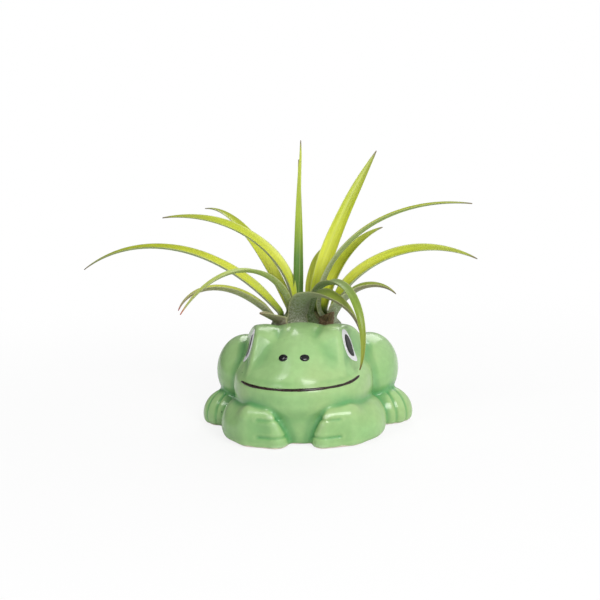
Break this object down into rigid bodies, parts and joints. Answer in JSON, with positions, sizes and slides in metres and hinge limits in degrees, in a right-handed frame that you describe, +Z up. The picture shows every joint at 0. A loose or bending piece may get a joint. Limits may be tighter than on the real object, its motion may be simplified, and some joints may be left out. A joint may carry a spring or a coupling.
{
  "type": "air plant holder",
  "caption": "Green glazed ceramic frog with an open pocket in its back that holds a loose air plant by its root end.",
  "frame": {"origin": "on the surface that the frog stands on, under the middle of the frog's length and width", "axes": "+Z up, -Y towards the frog's face, +X towards the frog's left hand side"},
  "size_m": [0.1613, 0.0913, 0.1091],
  "materials": {
    "green_glaze": "gloss",
    "white_enamel": "gloss",
    "black_enamel": "gloss",
    "brown_enamel": "gloss",
    "leaf_base": "matte",
    "leaf_green": "satin",
    "dry_leaf": "matte"
  },
  "bodies": {
    "frog": {"frog_body": "green_glaze", "eye_white_left": "white_enamel", "eye_white_right": "white_enamel", "pupil_left": "black_enamel", "pupil_right": "black_enamel", "nostril_left": "black_enamel", "nostril_right": "black_enamel", "smile": "brown_enamel"},
    "plant": {"root_stock": "leaf_base", "leaf_far_left": "leaf_green", "leaf_left": "leaf_green", "leaf_back_left": "leaf_green", "leaf_front_left": "leaf_green", "leaf_low_left": "leaf_green", "leaf_upright": "leaf_green", "leaf_upright_back": "leaf_green", "leaf_tall_right": "leaf_green", "leaf_back": "leaf_green", "leaf_long_right": "leaf_green", "leaf_short_right": "leaf_green", "leaf_far_right": "leaf_green", "leaf_low_right": "leaf_green", "leaf_front": "leaf_green", "leaf_drooping": "leaf_green", "dry_leaf_left": "dry_leaf", "dry_leaf_right": "dry_leaf"}
  },
  "joints": [
    {"name": "plant_lift", "type": "slide", "parent": "frog", "child": "plant", "axis": [0, 0, 1], "range_m": [0, 0.06]}
  ]
}
